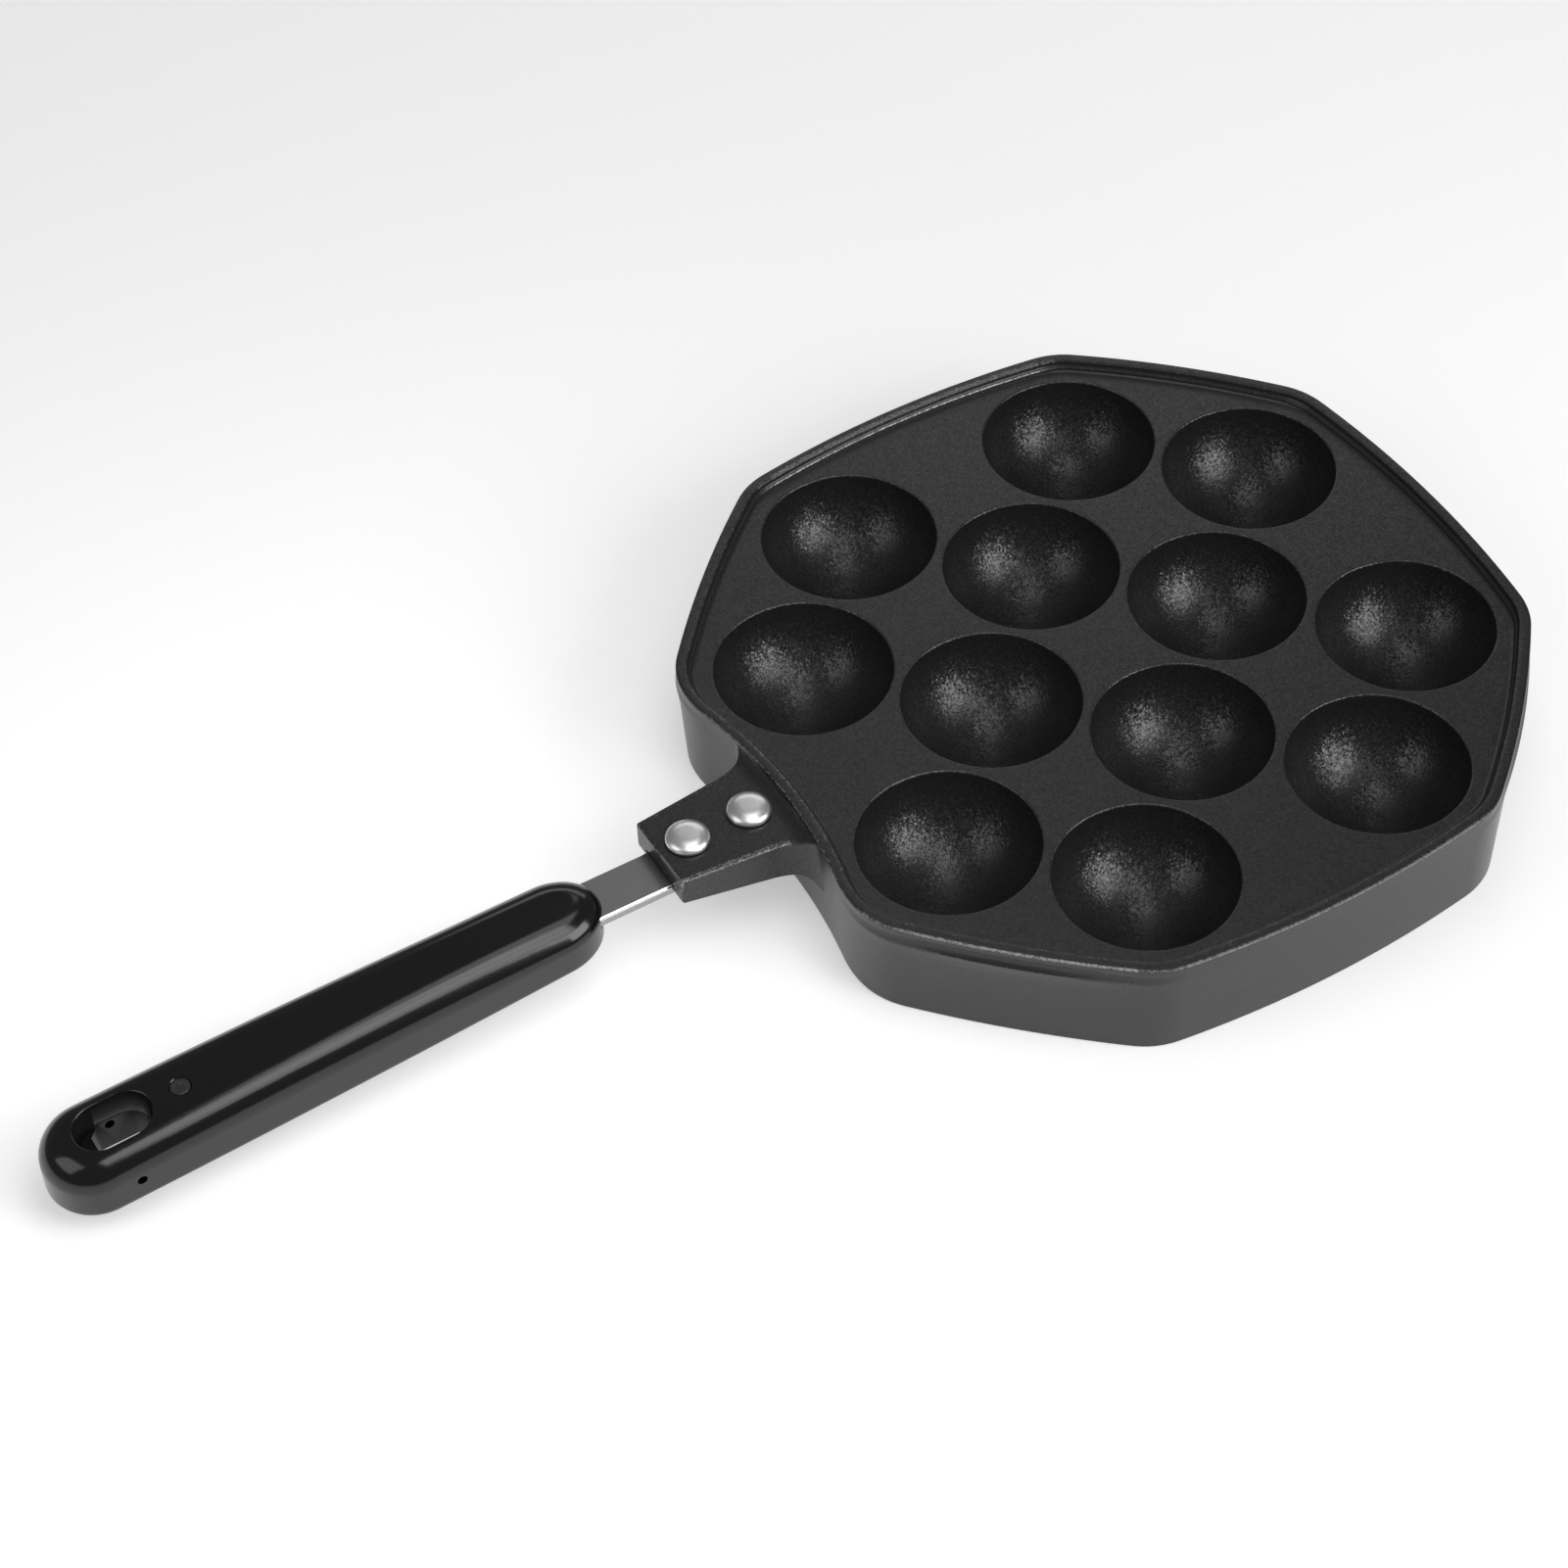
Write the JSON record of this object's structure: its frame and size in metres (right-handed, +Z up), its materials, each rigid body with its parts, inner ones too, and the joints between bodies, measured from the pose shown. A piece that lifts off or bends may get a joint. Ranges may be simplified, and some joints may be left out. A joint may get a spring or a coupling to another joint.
{
  "type": "takoyaki pan",
  "caption": "Stovetop takoyaki pan: an eight-sided cast pan with round cups and a raised rim, on a riveted steel tang with a long moulded grip that has a hanging hole.",
  "frame": {"origin": "on the floor plane, under the middle of the whole object's bounding box", "axes": "+X from the grip's rear end towards the pan, +Z up from the resting plane, Y across; the object is mirror-symmetric about Y = 0"},
  "size_m": [0.3748, 0.193, 0.0292],
  "materials": {
    "coated_casting": "cast, dark non-stick coating with a fine grain",
    "tang_steel": "rolled strap, polished edges",
    "rivet_steel": "bright, smooth dome",
    "grip_phenolic": "moulded, semi-gloss",
    "pin_steel": "dull, pitted"
  },
  "bodies": {
    "root": {"pan_body": "coated_casting", "handle_tang": "tang_steel", "rivet_inner": "rivet_steel", "rivet_outer": "rivet_steel", "handle_grip": "grip_phenolic", "grip_pin": "pin_steel"}
  },
  "joints": []
}
